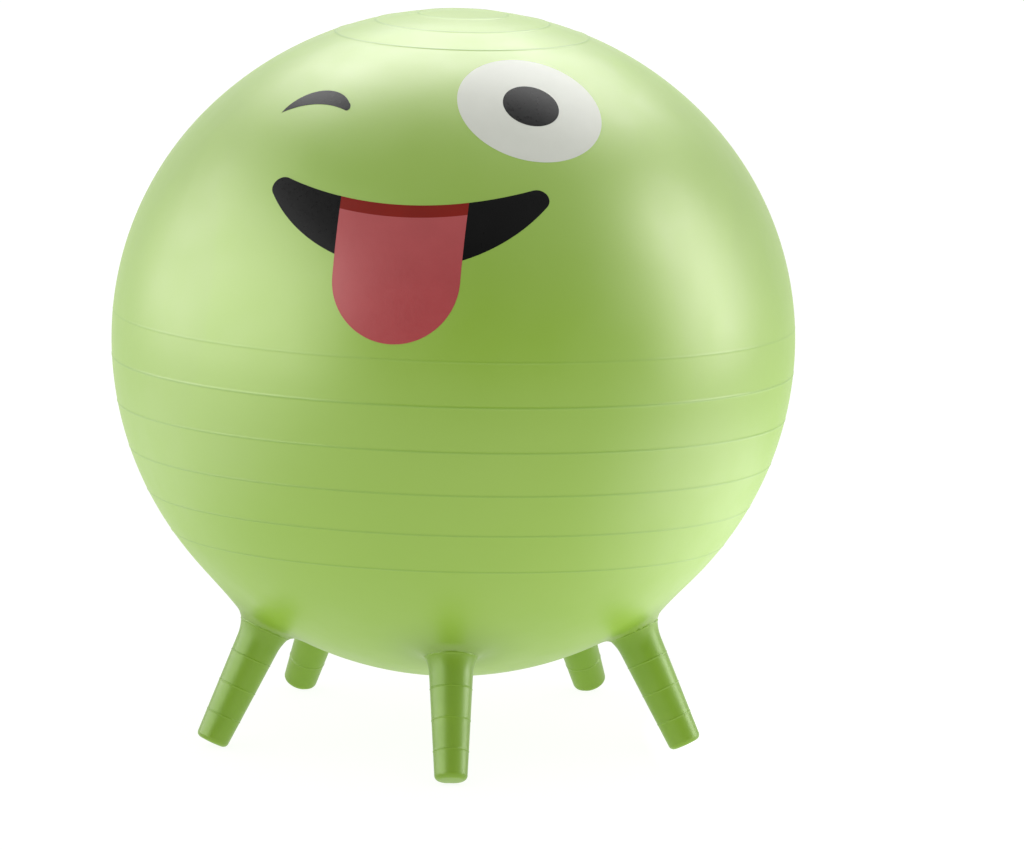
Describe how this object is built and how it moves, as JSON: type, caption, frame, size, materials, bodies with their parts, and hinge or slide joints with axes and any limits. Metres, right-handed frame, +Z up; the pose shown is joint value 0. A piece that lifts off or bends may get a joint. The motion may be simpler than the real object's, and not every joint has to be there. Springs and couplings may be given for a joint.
{
  "type": "exercise ball",
  "caption": "Inflated vinyl sit-on exercise ball with moulded rings, hollow splayed legs, a printed winking smiley face and a pull-out filling plug underneath.",
  "frame": {"origin": "on the floor, straight below the middle of the ball", "axes": "+Z up; the printed face looks towards -Y; +X to the right of someone facing the printed face"},
  "size_m": [0.4505, 0.4509, 0.482],
  "materials": {
    "ball_skin": "satin",
    "leg_vinyl": "satin",
    "valve_collar": "satin",
    "valve_stopper": "satin",
    "white_ink": "satin",
    "black_ink": "satin",
    "tongue_ink": "satin",
    "shade_ink": "satin"
  },
  "bodies": {
    "ball": {"ball_shell": "ball_skin", "leg_front": "leg_vinyl", "leg_front_right": "leg_vinyl", "leg_rear_right": "leg_vinyl", "leg_rear_left": "leg_vinyl", "leg_front_left": "leg_vinyl", "valve_seat": "valve_collar", "eye_white": "white_ink", "eye_pupil": "black_ink", "wink_lid": "black_ink", "mouth_left": "black_ink", "mouth_right": "black_ink", "tongue": "tongue_ink", "tongue_shade": "shade_ink"},
    "stopper": {"valve_plug": "valve_stopper"}
  },
  "joints": [
    {"name": "stopper_pull", "type": "slide", "parent": "ball", "child": "stopper", "axis": [0, 0, -1], "range_m": [0, 0.025]}
  ]
}
